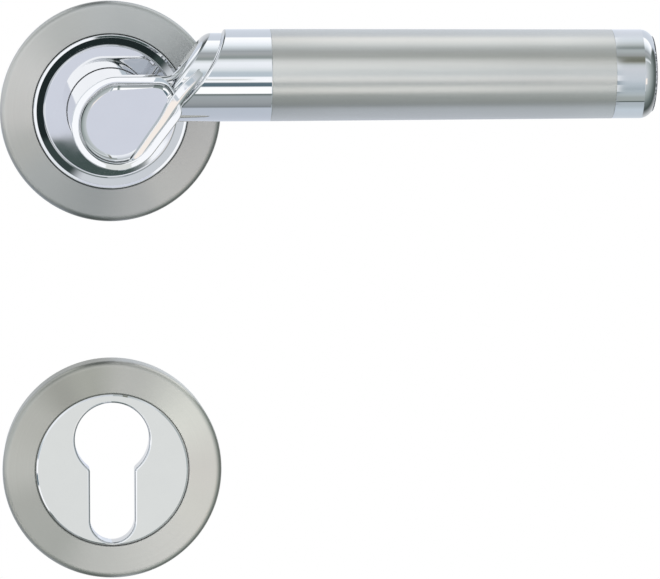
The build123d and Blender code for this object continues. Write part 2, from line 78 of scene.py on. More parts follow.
# %% A grid of points becomes a closed mesh
def skin(name, points, tyre=False):
    """Mesh of quads over points[i, j]: i runs round and closes, j runs along the profile.
    With tyre the profile closes too; otherwise its first and last rows shrink to poles."""
    rounds, steps = points.shape[:2]
    i = np.arange(rounds)[:, None]
    after = (i + 1) % rounds
    if tyre:
        vertices = points.reshape(-1, 3)
        j = np.arange(steps)[None, :]
        further = (j + 1) % steps
        quads = np.stack(np.broadcast_arrays(i * steps + j, after * steps + j,
                                             after * steps + further, i * steps + further), -1)
        corner_u = np.stack(np.broadcast_arrays(i, i + 1, i + 1, i), -1) / rounds
        corner_v = np.stack(np.broadcast_arrays(j + 0 * i, j, j + 1, j + 1 + 0 * i), -1) / steps
        faces = quads.reshape(-1, 4)
        uv = np.stack([np.broadcast_to(corner_u, quads.shape),
                       np.broadcast_to(corner_v, quads.shape)], -1).reshape(-1, 2)
        triangles = np.zeros((0, 3), int)
    else:
        inner = steps - 2
        vertices = np.concatenate([points[:, 1:-1].reshape(-1, 3),
                                   points[:1, 0], points[:1, -1]])
        j = np.arange(inner - 1)[None, :]
        quads = np.stack(np.broadcast_arrays(i * inner + j, after * inner + j,
                                             after * inner + j + 1, i * inner + j + 1), -1)
        corner_u = np.stack(np.broadcast_arrays(i, i + 1, i + 1, i), -1) / rounds
        corner_v = np.stack(np.broadcast_arrays(j + 1 + 0 * i, j + 1, j + 2, j + 2 + 0 * i), -1)
        faces = quads.reshape(-1, 4)
        uv = np.stack([np.broadcast_to(corner_u, quads.shape),
                       np.broadcast_to(corner_v / steps, quads.shape)], -1).reshape(-1, 2)
        first, last = rounds * inner, rounds * inner + 1
        ring, turn = i[:, 0], after[:, 0]
        triangles = np.concatenate([
            np.stack([ring * 0 + first, turn * inner, ring * inner], -1),
            np.stack([ring * 0 + last, ring * inner + inner - 1, turn * inner + inner - 1], -1)])
        fan_u = np.concatenate([np.stack([ring + 0.5, ring + 1, ring], -1),
                                np.stack([ring + 0.5, ring, ring + 1], -1)]) / rounds
        fan_v = np.concatenate([np.tile([0, 1 / steps, 1 / steps], (rounds, 1)),
                                np.tile([1, 1 - 1 / steps, 1 - 1 / steps], (rounds, 1))])
        uv = np.concatenate([uv, np.stack([fan_u, fan_v], -1).reshape(-1, 2)])
    if enclosed(vertices, faces, triangles) < 0:
        count = len(faces) * 4
        faces, triangles = faces[:, ::-1], triangles[:, ::-1]
        uv = np.concatenate([uv[:count].reshape(-1, 4, 2)[:, ::-1].reshape(-1, 2),
                             uv[count:].reshape(-1, 3, 2)[:, ::-1].reshape(-1, 2)])
    mesh = bpy.data.meshes.new(name)
    loops = np.concatenate([faces.ravel(), triangles.ravel()]).astype(np.int32)
    sizes = np.concatenate([np.full(len(faces), 4), np.full(len(triangles), 3)])
    mesh.vertices.add(len(vertices))
    mesh.vertices.foreach_set("co", vertices.astype(np.float32).ravel())
    mesh.loops.add(len(loops))
    mesh.loops.foreach_set("vertex_index", loops)
    mesh.polygons.add(len(sizes))
    starts = np.concatenate([[0], np.cumsum(sizes)[:-1]]).astype(np.int32)
    mesh.polygons.foreach_set("loop_start", starts)
    mesh.uv_layers.new(name="brushing")
    mesh.uv_layers["brushing"].data.foreach_set("uv", uv.astype(np.float32).ravel())
    mesh.polygons.foreach_set("use_smooth", np.ones(len(sizes), bool))
    mesh.update(calc_edges=True)
    mesh.validate()
    piece = bpy.data.objects.new(name, mesh)
    bpy.context.scene.collection.objects.link(piece)
    print(name, len(sizes), "faces")
    return piece


def enclosed(vertices, faces, triangles):
    """Signed volume: the sum over triangles of a . (b x c) / 6, positive when faces look out."""
    split = np.concatenate([faces[:, [0, 1, 2]], faces[:, [0, 2, 3]], triangles])
    a, b, c = (vertices[split[:, k]] for k in range(3))
    return float(np.einsum("ij,ij->i", a, np.cross(b, c)).sum() / 6)


# %% A profile with rounded corners
GUARD = 0.12


def rounded(corners, radii, samples=10, closed=False):
    """Polyline in the plane with each corner replaced by an arc of its radius.
    Two extra points sit a GUARD of the radius outside each arc, so that flats shade flat."""
    corners = np.array(corners, float)
    count = len(corners)
    out = []
    for k in range(count):
        here, radius = corners[k], radii[k]
        if radius <= 0 or (not closed and k in (0, count - 1)):
            out.append(here)
            continue
        before, after = corners[k - 1] - here, corners[(k + 1) % count] - here
        before, after = before / np.linalg.norm(before), after / np.linalg.norm(after)
        half = math.acos(np.clip(before @ after, -1, 1)) / 2
        reach = radius / math.tan(half)
        centre = here + (before + after) / np.linalg.norm(before + after) * radius / math.sin(half)
        start, end = here + before * reach, here + after * reach
        sweep = np.linspace(0, 1, samples)[:, None]
        a, b = start - centre, end - centre
        angle = math.acos(np.clip(a @ b / radius ** 2, -1, 1))
        swung = np.sin((1 - sweep) * angle) * a + np.sin(sweep * angle) * b
        arc = centre + swung / math.sin(angle)
        out += [start + before * radius * GUARD, *arc, end + after * radius * GUARD]
    return np.array(out)


def dense(profile, step):
    """The same polyline with long flats cut into steps no longer than step."""
    out = [profile[:1]]
    for a, b in zip(profile[:-1], profile[1:]):
        count = max(1, int(math.ceil(np.linalg.norm(b - a) / step)))
        out.append(a + (b - a) * np.linspace(0, 1, count + 1)[1:, None])
    return np.concatenate(out)


# %% Turned pieces
ROUND_STEPS = 320


def turned_on_door(profile, x=0.0, z=0.0, steps=ROUND_STEPS):
    """Profile (radius, height over the door) carried round an axis square to the door:
    point = (x + r cos a, -h, z + r sin a)."""
    a = np.linspace(0, 2 * np.pi, steps, endpoint=False)[:, None]
    r, h = profile[None, :, 0], profile[None, :, 1]
    return np.stack([x + r * np.cos(a), -h + 0 * a, z + r * np.sin(a)], -1)


def turned_on_bar(profile, steps=ROUND_STEPS):
    """Profile (place along the bar, radius) carried round the bar's axis:
    point = (s, -H - r cos t, Z + r sin t)."""
    t = np.linspace(0, 2 * np.pi, steps, endpoint=False)[:, None]
    s, r = profile[None, :, 0], profile[None, :, 1]
    return np.stack([s + 0 * t, -bar_height - r * np.cos(t), bar_rise + r * np.sin(t)], -1)


# %% [markdown]
# A finish is a shader. Chrome plate is a metal with almost no roughness, and what it looks like
# is what it reflects, so its own nodes only add the faint unevenness of a hand-polished casting.
# Satin nickel is the same metal with fine parallel scratches: they blur the reflection across
# their direction only, which the shader's anisotropy does, and a stretched noise draws them.
# On the two rings the satin also carries painted light and shade round the turn.


# %% Node helpers
def new_material(name):
    """Material with a Principled shader; returns the material, its node tree and the shader."""
    material = bpy.data.materials.new(name)
    material.use_nodes = True
    tree = material.node_tree
    return material, tree, tree.nodes["Principled BSDF"]


def node(tree, kind, links=None, **settings):
    """Adds a node, sets its properties and sockets, and links what is given as a socket."""
    made = tree.nodes.new(kind)
    for key, value in settings.items():
        setattr(made, key, value)
    for key, value in (links or {}).items():
        if isinstance(value, bpy.types.NodeSocket):
            tree.links.new(value, made.inputs[key])
        else:
            made.inputs[key].default_value = value
    return made


def spread(tree, value, low, high):
    """Maps 0..1 onto low..high."""
    return node(tree, "ShaderNodeMapRange", {"Value": value, "To Min": low, "To Max": high})


def noise(tree, where, scale, size, detail=2.0):
    """Noise over coordinates that are first stretched by a factor on each axis."""
    stretched = node(tree, "ShaderNodeMapping", {"Vector": where, "Scale": scale})
    return node(tree, "ShaderNodeTexNoise", {"Vector": stretched.outputs[0], "Scale": size,
                                             "Detail": detail}).outputs["Fac"]


def tinted(tree, factor, dark, light):
    """Two colours mixed by a factor."""
    mix = node(tree, "ShaderNodeMix", data_type="RGBA")
    tree.links.new(factor, mix.inputs[0])
    mix.inputs[6].default_value = (*dark, 1)
    mix.inputs[7].default_value = (*light, 1)
    return mix.outputs[2]


# %% Chrome plate
def chrome(name, roughness=(0.012, 0.03), bump=0.02):
    """Mirror plate: clear blue-white metal, a slow waviness and a trace of polishing haze."""
    material, tree, shader = new_material(name)
    where = node(tree, "ShaderNodeTexCoord").outputs["Object"]
    haze = noise(tree, where, (1, 1, 1), 260, 4)
    shader.inputs["Metallic"].default_value = 1.0
    colour = tinted(tree, haze, (0.655, 0.665, 0.68), (0.675, 0.685, 0.70))
    tree.links.new(colour, shader.inputs["Base Color"])
    tree.links.new(spread(tree, haze, *roughness).outputs[0], shader.inputs["Roughness"])
    wave = noise(tree, where, (1, 1, 1), 90, 1)
    lift = node(tree, "ShaderNodeBump", {"Height": wave, "Strength": bump, "Distance": 0.0004})
    tree.links.new(lift.outputs[0], shader.inputs["Normal"])
    return material


# %% Satin nickel
def satin(name, along_u, dark, light, roughness=(0.30, 0.38), stretch=(3.0, 420.0, 1.0), painted_shade=None):
    """Brushed plate: scratches run along the UV map's u, or across it, and the blur lies
    across the scratches. A list of tones, if given, is painted light and shade: pairs of (share of
    the turn, tone) multiplied into the colour. They copy where the real ring looks light or dark
    from the front, and they stay so in any light."""
    material, tree, shader = new_material(name)
    uv = node(tree, "ShaderNodeUVMap", uv_map="brushing").outputs[0]
    scratches = noise(tree, uv, stretch, 1.0, 3)
    place = node(tree, "ShaderNodeTexCoord").outputs["Object"]
    cloud = noise(tree, place, (1, 1, 1), 45, 2)
    patchy = node(tree, "ShaderNodeMath", {0: scratches, 1: cloud}, operation="MULTIPLY")
    doubled = node(tree, "ShaderNodeMath", {0: patchy.outputs[0], 1: 2.0}, operation="MULTIPLY")
    colour = tinted(tree, doubled.outputs[0], dark, light)
    if painted_shade:
        # painted light and shade: a ramp of tones round the turn, multiplied into the colour
        turn = node(tree, "ShaderNodeSeparateXYZ", {0: uv}).outputs[0]
        tone = node(tree, "ShaderNodeValToRGB", {"Fac": turn})
        tone.color_ramp.interpolation = "EASE"
        while len(tone.color_ramp.elements) < len(painted_shade):
            tone.color_ramp.elements.new(0.5)
        for item, (share, shade) in zip(tone.color_ramp.elements, painted_shade):
            item.position, item.color = share, (*shade, 1)
        painted_shade_mix = node(tree, "ShaderNodeMix", data_type="RGBA", blend_type="MULTIPLY")
        painted_shade_mix.inputs[0].default_value = 1.0
        tree.links.new(colour, painted_shade_mix.inputs[6])
        tree.links.new(tone.outputs[0], painted_shade_mix.inputs[7])
        colour = painted_shade_mix.outputs[2]
    tree.links.new(colour, shader.inputs["Base Color"])
    tree.links.new(spread(tree, scratches, *roughness).outputs[0], shader.inputs["Roughness"])
    shader.inputs["Metallic"].default_value = 1.0
    shader.inputs["Anisotropic"].default_value = 0.65
    shader.inputs["Anisotropic Rotation"].default_value = 0.25 if along_u else 0.0
    direction = node(tree, "ShaderNodeTangent", direction_type="UV_MAP", uv_map="brushing")
    tree.links.new(direction.outputs[0], shader.inputs["Tangent"])
    lift = node(tree, "ShaderNodeBump", {"Height": scratches, "Strength": 0.10,
                                         "Distance": 0.00002})
    tree.links.new(lift.outputs[0], shader.inputs["Normal"])
    return material


# %% Plain hidden metals and nylon
def dull(name, dark, light, metallic, roughness, grain, bump):
    """Cast, plated, blackened or moulded surface: two tones and a grain of one size."""
    material, tree, shader = new_material(name)
    where = node(tree, "ShaderNodeTexCoord").outputs["Object"]
    tone = noise(tree, where, (1, 1, 1), grain, 4)
    tree.links.new(tinted(tree, tone, dark, light), shader.inputs["Base Color"])
    tree.links.new(spread(tree, tone, *roughness).outputs[0], shader.inputs["Roughness"])
    shader.inputs["Metallic"].default_value = metallic
    lift = node(tree, "ShaderNodeBump", {"Height": tone, "Strength": bump, "Distance": 0.0001})
    tree.links.new(lift.outputs[0], shader.inputs["Normal"])
    return material


# %% The finishes themselves
chrome_plate = chrome("chrome_plate")
RING_TONES = dict(dark=(0.83, 0.83, 0.82), light=(0.93, 0.93, 0.92))
# painted light and shade on the two satin rings: tones round each ring's turn, multiplied into its
# colour, copying where the real rings look lighter or darker from the front
ROSE_PAINTED_SHADE = [(0.0, (0.56, 0.55, 0.54)), (0.12, (0.60, 0.61, 0.60)), (0.25, (0.53, 0.54, 0.535)),
              (0.33, (0.50, 0.505, 0.49)), (0.44, (0.64, 0.63, 0.61)), (0.50, (0.60, 0.59, 0.57)),
              (0.56, (0.49, 0.49, 0.47)), (0.62, (0.45, 0.46, 0.455)), (0.72, (0.40, 0.41, 0.41)),
              (0.80, (0.49, 0.49, 0.485)), (0.84, (0.55, 0.545, 0.53)), (0.94, (0.53, 0.52, 0.51)),
              (1.0, (0.56, 0.55, 0.54))]
LOCK_PAINTED_SHADE = [(0.0, (0.68, 0.66, 0.62)), (0.10, (0.80, 0.79, 0.73)), (0.22, (0.57, 0.56, 0.53)),
              (0.29, (0.42, 0.42, 0.38)), (0.34, (0.36, 0.36, 0.33)), (0.40, (0.46, 0.46, 0.43)),
              (0.50, (0.51, 0.51, 0.48)), (0.56, (0.46, 0.46, 0.43)), (0.64, (0.48, 0.48, 0.45)),
              (0.72, (0.62, 0.61, 0.58)), (0.86, (0.65, 0.64, 0.61)), (0.94, (0.66, 0.65, 0.61)),
              (1.0, (0.68, 0.66, 0.62))]
# the two ring finishes carry that painted light and shade in their colour
satin_rose_painted_shade = satin("satin_rose_painted_shade", along_u=True, painted_shade=ROSE_PAINTED_SHADE, **RING_TONES)
satin_lock_painted_shade = satin("satin_lock_painted_shade", along_u=True, painted_shade=LOCK_PAINTED_SHADE, **RING_TONES)
satin_bar = satin("satin_bar", along_u=False, stretch=(300.0, 5.0, 1.0), roughness=(0.2, 0.26),
                  dark=(0.575, 0.57, 0.545), light=(0.64, 0.635, 0.61))
cast_zinc = dull("cast_zinc", (0.38, 0.39, 0.40), (0.56, 0.57, 0.58), 1.0, (0.42, 0.6),
                 1400, 0.35)
black_steel = dull("black_steel", (0.05, 0.05, 0.055), (0.13, 0.13, 0.14), 1.0, (0.3, 0.45),
                   900, 0.2)
zinc_plate = dull("zinc_plate", (0.50, 0.52, 0.56), (0.68, 0.70, 0.73), 1.0, (0.22, 0.34),
                  700, 0.1)
dark_nylon = dull("dark_nylon", (0.010, 0.010, 0.011), (0.022, 0.022, 0.024), 0.0, (0.45, 0.6),
                  2600, 0.25)
print("finishes", [material.name for material in bpy.data.materials])

# %% Finishes for the frame's own pieces
FINISHES = {
    "zinc_casting": cast_zinc,
    "nylon": dark_nylon,
    "spring_steel": black_steel,
    "zinc_plated_steel": zinc_plate,
    "polished_chrome": chrome_plate,
    "satin_nickel": cast_zinc,
}
slot_of = {row["node"]: row["material_slot"] for row in frame["record"]["subparts"]}
for name, part in frame["nodes"].items():
    part.data.materials.clear()
    part.data.materials.append(FINISHES[slot_of[name]])


def fit(piece, finish, body, node_name):
    """Gives a new piece its finish and body, and hides the frame node it stands for."""
    piece.data.materials.append(finish)
    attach(piece, body)
    if node_name:
        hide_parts(node_name)
    return piece


# %% [markdown]
# Each rose is a pressed satin ring round a polished insert. Both are turned shapes, so one
# profile carried round an axis makes them, with small true roundings where the light catches.
# The ring's profile closes on itself like a tyre, hollow behind as the pressing is.

# %% The two satin rings
RING_WALL, RING_EDGE, RING_BORE_EDGE = 1.2 * MM, 1.4 * MM, 0.25 * MM
RING_TRIM, RING_DRAFT = 0.2 * MM, 0.25 * MM
INSERT_RADIUS, INSERT_GAP = 18.0 * MM, 0.12 * MM
SHELF = 8.8 * MM


def ring_profile():
    """Outer wall, rounded edge, flat front, bore, and back along the inside of the pressing."""
    bore = INSERT_RADIUS + INSERT_GAP
    outer = rose_radius - RING_TRIM
    inner = outer - RING_WALL
    corners = [(outer - RING_DRAFT, 0), (outer, rose_height), (bore, rose_height), (bore, SHELF),
               (inner, SHELF), (inner, 0)]
    line = rounded(corners, [0.15 * MM, RING_EDGE, RING_BORE_EDGE, 0.05 * MM, 0.05 * MM, 0.1 * MM],
                   samples=12, closed=True)
    return dense(line, 0.9 * MM)


rose_ring = skin("rose_ring_satin", turned_on_door(ring_profile()), tyre=True)
fit(rose_ring, satin_rose_painted_shade, "root", "rose_ring")
lock_ring = skin("escutcheon_ring_satin", turned_on_door(ring_profile(), z=lock_drop), tyre=True)
fit(lock_ring, satin_lock_painted_shade, "root", "escutcheon_ring")

# %% The polished dish of the rose
LIP_WIDTH, LIP_PROUD, WALL_RUN, FLOOR_HEIGHT = 0.75 * MM, 0.3 * MM, 1.7 * MM, 8.8 * MM
DISH_COVE, HUB_LINE = 0.9 * MM, 0.12 * MM
SHEET = 0.8 * MM


def dish_profile():
    """Lip, steep polished wall, flat floor and hub hole, then back under the floor."""
    lip_high = rose_height + LIP_PROUD
    lip_inner = INSERT_RADIUS - LIP_WIDTH
    hole = hub_radius + HUB_LINE
    seat = FLOOR_HEIGHT - SHEET
    corners = [(hole, FLOOR_HEIGHT), (lip_inner - WALL_RUN, FLOOR_HEIGHT),
               (lip_inner, lip_high - 0.02 * MM), (INSERT_RADIUS, lip_high),
               (INSERT_RADIUS, seat), (hole, seat)]
    radii = [0.05 * MM, DISH_COVE, 0.08 * MM, 0.22 * MM, 0.05 * MM, 0.05 * MM]
    return dense(rounded(corners, radii, samples=12, closed=True), 0.9 * MM)


dish = skin("rose_dish", turned_on_door(dish_profile()), tyre=True)
fit(dish, chrome_plate, "root", "rose_insert")

# %% The nylon liner, kept just under the dish's floor
LINER_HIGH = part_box("neck_liner")[1]
LINER_BORE, LINER_TOP, LINER_EDGE = hub_radius + 0.06 * MM, FLOOR_HEIGHT - 0.1 * MM, 0.02 * MM
liner_corners = [(LINER_BORE, -LINER_HIGH.y), (LINER_BORE, LINER_TOP), (LINER_HIGH.x, LINER_TOP),
                 (LINER_HIGH.x, -LINER_HIGH.y)]
liner_line = rounded(liner_corners, [LINER_EDGE] * 4, 3, closed=True)
liner = skin("rose_liner", turned_on_door(liner_line), tyre=True)
fit(liner, dark_nylon, "root", "neck_liner")

# %% [markdown]
# The escutcheon's insert is a flat polished disc with the cut-out for a profile cylinder: a round
# part with a narrower slot below it. Its outline is worked out once as a closed line. The disc is
# then a tyre-shaped grid: from the disc's edge in to the outline, down the wall of the cut-out
# and back behind.

# %% The keyhole's outline
KEY_RISE, KEY_RADIUS, SLOT_HALF = -77.3 * MM, 8.75 * MM, 5.25 * MM
KEY_TALL, KEY_SHOULDER = 33.1 * MM, 1.2 * MM
KEY_WALL, KEY_DEPTH, KEY_EDGE = 0.8 * MM, 4.0 * MM, 0.5 * MM
BEVEL, BEVEL_DROP, SUNK = 0.5 * MM, 0.24 * MM, 0.25 * MM


def keyhole_outline(count):
    """Closed line: the slot's round foot, its sides, small round shoulders and the big circle.
    Returned evenly spaced by length, starting at the foot's lowest point."""
    foot = KEY_RISE + KEY_RADIUS - KEY_TALL + SLOT_HALF
    reach = KEY_RADIUS + KEY_SHOULDER
    shoulder_x = SLOT_HALF + KEY_SHOULDER
    shoulder_z = KEY_RISE - math.sqrt(reach ** 2 - shoulder_x ** 2)
    meet = math.atan2(shoulder_z - KEY_RISE, shoulder_x)
    low = np.linspace(-np.pi / 2, 0, 60)
    foot_arc = np.stack([SLOT_HALF * np.cos(low), foot + SLOT_HALF * np.sin(low)], -1)
    turn = np.linspace(np.pi, np.pi + meet, 40)
    corner = np.stack([shoulder_x + KEY_SHOULDER * np.cos(turn),
                       shoulder_z + KEY_SHOULDER * np.sin(turn)], -1)
    big = np.linspace(meet, np.pi / 2, 200)
    top = np.stack([KEY_RADIUS * np.cos(big), KEY_RISE + KEY_RADIUS * np.sin(big)], -1)
    half = np.concatenate([foot_arc, corner, top])
    whole = np.concatenate([half, (half * [-1, 1])[::-1][1:]])
    length = np.concatenate([[0], np.cumsum(np.linalg.norm(np.diff(whole, axis=0), axis=1))])
    even = np.linspace(0, length[-1], count, endpoint=False)
    return np.stack([np.interp(even, length, whole[:, k]) for k in range(2)], -1)


# %% The escutcheon's polished insert
def lock_insert(count=640):
    """Grid round the outline: for each of its points the profile runs from the disc's rim, at
    the same angle from the disc's centre, to the outline and down the cut-out's wall."""
    inner = keyhole_outline(count)
    centre = np.array([0, lock_drop])
    angle = np.arctan2(inner[:, 1] - centre[1], inner[:, 0] - centre[0])
    rim = np.stack([np.cos(angle), np.sin(angle)], -1)
    front, seat = rose_height - SUNK, FLOOR_HEIGHT - SHEET
    ahead = np.roll(inner, -1, 0) - np.roll(inner, 1, 0)
    outward = np.stack([ahead[:, 1], -ahead[:, 0]], -1)
    outward /= np.linalg.norm(outward, axis=1)[:, None]
    if np.mean(np.sum(outward * (inner - centre), 1)) < 0:
        outward = -outward

    def row(place, height):
        return np.stack([place[:, 0], np.full(count, -height), place[:, 1]], -1)

    rows = [row(centre + rim * INSERT_RADIUS, seat)]
    for share in (0.0, 0.02, 0.5, 0.98, 1.0):
        place = centre + rim * (INSERT_RADIUS - BEVEL * share)
        rows.append(row(place, front - BEVEL_DROP * (1 - share)))
    for share in (0.005, 0.03, 0.2, 0.4, 0.6, 0.8, 0.94, 0.99):
        start, end = centre + rim * (INSERT_RADIUS - BEVEL), inner + outward * KEY_EDGE
        rows.append(row(start + (end - start) * share, front))
    for turn in np.linspace(0, np.pi / 2, 12):
        place = inner + outward * KEY_EDGE * (1 - np.sin(turn))
        rows.append(row(place, front - KEY_EDGE * (1 - np.cos(turn))))
    for depth in (0.05, 0.5, 0.95):
        rows.append(row(inner, front - KEY_EDGE - KEY_DEPTH * depth))
    low = seat - KEY_DEPTH
    rows.append(row(inner, low))
    rows.append(row(inner + outward * KEY_WALL * 0.98, low))
    rows.append(row(inner + outward * KEY_WALL, low + 0.02 * MM))
    rows.append(row(inner + outward * KEY_WALL, seat))
    return np.stack(rows, 1)


lock_disc = skin("escutcheon_disc", lock_insert(), tyre=True)
fit(lock_disc, chrome_plate, "root", "escutcheon_insert")

# %% [markdown]
# The grip is a satin sleeve between a polished collar and a polished cap. The sleeve narrows a
# very little towards the tip, and the cap ends in a soft rounding. All are turned round the bar's
# axis, and they start inside their neighbours so that no gap shows at the joints.

# %% Sleeve and cap
TIP_RADIUS = bar_radius - 0.3 * MM
SPIGOT = TIP_RADIUS - 1.65 * MM
CAP_ROUND, CAP_DOME, JOINT_EDGE = 3.2 * MM, 1.5 * MM, 0.06 * MM
CAP_TRIM = 0.25 * MM


def sleeve_profile():
    """Inside of the sleeve, end face, tapered outside, end face, and closed like a tyre."""
    corners = [(collar_end, SPIGOT), (collar_end, bar_radius), (cap_start, TIP_RADIUS),
               (cap_start, SPIGOT)]
    return dense(rounded(corners, [0, JOINT_EDGE, JOINT_EDGE, 0], samples=5, closed=True), 2 * MM)


def cap_profile():
    """From the axis out along the spigot's end, over the cap and round its edge to the axis."""
    start = CAP_LOW.x
    end = tip - CAP_TRIM
    corners = [(start, 0), (start, SPIGOT), (cap_start, SPIGOT), (cap_start, TIP_RADIUS),
               (end - CAP_DOME, TIP_RADIUS), (end - CAP_DOME * 0.3, TIP_RADIUS * 0.5), (end, 0)]
    line = rounded(corners, [0, 0.2 * MM, 0.02 * MM, JOINT_EDGE, CAP_ROUND, 20 * MM, 0], samples=26)
    return dense(line, 0.8 * MM)


sleeve = skin("grip_sleeve_satin", turned_on_bar(sleeve_profile()), tyre=True)
fit(sleeve, satin_bar, "lever", "grip_sleeve")
cap = skin("grip_cap", turned_on_bar(cap_profile()))
fit(cap, chrome_plate, "lever", "end_cap")

# %% [markdown]
# The casting between the hub and the sleeve is drawn like a twisted ribbon. Here it is four
# surfaces that run into each other: the hub with its ring and sunk floor, the slanting neck with
# its fuller collar, and the two strands of the ribbon that cross between them.

# %% Smooth lines through a few points
def smooth_line(points, count):
    """Catmull-Rom line through points of any width, evenly spaced by its first three columns."""
    p = np.array(points, float)
    p = np.concatenate([2 * p[:1] - p[1:2], p, 2 * p[-1:] - p[-2:-1]])
    t = np.linspace(0, 1, 40, endpoint=False)[:, None]
    parts = []
    for k in range(1, len(p) - 2):
        a, b, c, d = p[k - 1], p[k], p[k + 1], p[k + 2]
        parts.append(0.5 * (2 * b + (c - a) * t + (2 * a - 5 * b + 4 * c - d) * t ** 2
                            + (3 * b - a - 3 * c + d) * t ** 3))
    line = np.concatenate([*parts, p[-2:-1]])
    length = np.concatenate([[0], np.cumsum(np.linalg.norm(np.diff(line[:, :3], axis=0), axis=1))])
    even = np.linspace(0, length[-1], count)
    return np.stack([np.interp(even, length, line[:, k]) for k in range(line.shape[1])], -1)


# %% The hub with its ring and floor
FACE_HEIGHT = bar_height + bar_radius - 0.45 * MM
RIM_WIDTH, FLOOR_DEPTH, COVE = 1.65 * MM, 1.6 * MM, 1.5 * MM
STRAND_TOP, STRAND_UNDER, TIP_REACH = 10.6 * MM, 9.25 * MM, 14.2 * MM
WEB_DEPTH = 11.0 * MM
SLANT = math.radians(52.6)
HUB_BACK = 7.75 * MM
OUTER_REACH, OUTER_CREASE, INNER_CREASE = 14.6 * MM, 1.2 * MM, 1.6 * MM
RIM_EDGE, LIP_EDGE, LIP_STEP = 0.22 * MM, 0.12 * MM, 0.14 * MM
# degrees: the rim leans out, the floor leans down, and the cove starts this far round its arc
RIM_TILT, FLOOR_TILT, COVE_START = -2.5, 0.7, 26.0
TILTED_ROWS = 17


def soft_min(a, b, width):
    """The smaller of two lengths, with the crease between them rounded over width."""
    share = np.clip(0.5 + 0.5 * (b - a) / width, 0, 1)
    return b + (a - b) * share - width * share * (1 - share)


def drop_outline(angle, radius, top, reach, width):
    """Distance from the hub's axis to a drop shape: a circle that opens to the upper right
    between a level line and a slanting tangent, and ends in a rounded point."""
    sine = np.maximum(np.sin(angle), 1e-3)
    across = np.maximum(np.sin(SLANT - angle), 1e-3)
    sides = soft_min(top / sine, radius / across, width)
    wedge = soft_min(sides, np.full_like(angle, reach), width)
    past_top = np.clip((angle - np.pi / 2) / math.radians(45), 0, 1)
    crown = radius + (top - radius) * (1 - past_top * past_top * (3 - 2 * past_top))
    opening = (angle > SLANT - np.pi / 2) & (angle <= np.pi / 2)
    return np.where(opening, wedge, np.where(angle > np.pi / 2, crown, radius))


def smooth_round(values, passes):
    """Averages each value with its neighbours round a closed line."""
    for _ in range(passes):
        values = (np.roll(values, 1) + 2 * values + np.roll(values, -1)) / 4
    return values


def hub_surface(count=720):
    """For each angle the profile climbs the hub's wall, steps out to the web, crosses the rim,
    rounds down the cove and closes on the floor's middle."""
    angle = np.linspace(-np.pi, np.pi, count, endpoint=False)
    outer = drop_outline(angle, hub_radius, STRAND_TOP, OUTER_REACH, OUTER_CREASE)
    outer = smooth_round(outer, 12)
    inner = drop_outline(angle, hub_radius - RIM_WIDTH, STRAND_UNDER, TIP_REACH, INNER_CREASE)
    inner = smooth_round(inner, 14)
    outer = np.maximum(outer, inner + 0.3 * MM)
    circle = np.full(count, hub_radius)
    web_low = FACE_HEIGHT - WEB_DEPTH
    rows = [(circle * 0, HUB_BACK), (circle * 0.9, HUB_BACK), (circle - 0.02 * MM, HUB_BACK),
            (circle, HUB_BACK + 0.02 * MM)]
    for height in np.linspace(HUB_BACK + 0.1 * MM, web_low - 1 * MM, 12):
        rows.append((circle, height))
    for share in np.linspace(0, 1, 9):
        blend = share * share * (3 - 2 * share)
        rows.append((circle + (outer - circle) * blend, web_low + share * 1.5 * MM))
    rows.append((outer, web_low + 4 * MM))
    rows.append((outer, FACE_HEIGHT - RIM_EDGE * 1.2))
    for turn in np.linspace(0, np.pi / 2, 7):
        rows.append((outer - RIM_EDGE * (1 - np.cos(turn)),
                     FACE_HEIGHT - RIM_EDGE * (1 - np.sin(turn))))
    drop = (outer - inner - RIM_EDGE) * math.tan(math.radians(RIM_TILT))
    for share in (0.03, 0.5, 0.97):
        rows.append((outer - RIM_EDGE - (outer - RIM_EDGE - inner) * share,
                     FACE_HEIGHT - drop * share))
    floor = FACE_HEIGHT - FLOOR_DEPTH
    crest = FACE_HEIGHT - drop
    for turn in np.linspace(0, np.pi / 2, 6)[1:]:
        rows.append((inner - LIP_EDGE * np.sin(turn), crest - LIP_EDGE * (1 - np.cos(turn))))
    steep = 0.35 * (FLOOR_DEPTH - LIP_EDGE)
    rows.append((inner - LIP_STEP, crest - steep))
    deep = crest - steep - floor
    full = math.radians(90 - COVE_START)
    for turn in [*np.linspace(0, full, 22)[:-1], full * 0.997, full]:
        rows.append((inner - LIP_STEP - COVE * (1 - np.cos(turn)) / (1 - np.cos(full)),
                     crest - steep - deep * np.sin(turn) / np.sin(full)))
    flat = inner - LIP_STEP - COVE
    for share in (0.997, 0.8, 0.5, 0.2, 0.0):
        rows.append((flat * share, floor))
    radius = np.stack([np.broadcast_to(r, (count,)) for r, _ in rows], 1)
    height = np.stack([np.broadcast_to(h, (count,)) for _, h in rows], 1)
    x, z = radius * np.cos(angle)[:, None], radius * np.sin(angle)[:, None]
    sunk = np.zeros_like(height)
    sunk[:, -TILTED_ROWS:] = np.tan(math.radians(FLOOR_TILT)) * z[:, -TILTED_ROWS:]
    return np.stack([x, -(height - sunk), z], -1)


hub = skin("lever_hub", hub_surface())

# %% The slanting neck and its collar
NECK_RADIUS = bar_radius - 0.85 * MM
NECK_AT_AXIS, COLLAR_AT_AXIS = 13.2 * MM, 19.15 * MM
NECK_EDGE, COLLAR_STEP = 1.5 * MM, 0.45 * MM
SPIGOT_LENGTH = 13.9 * MM


def neck_slant(rise):
    """Place of the neck's left side at a height over the bar's axis: a straight slant."""
    return NECK_AT_AXIS + 0.674 * rise


def collar_slant(rise):
    """Place of the collar's left edge: a slant with a slight bow."""
    return COLLAR_AT_AXIS + 0.692 * rise - 22.9 * rise ** 2


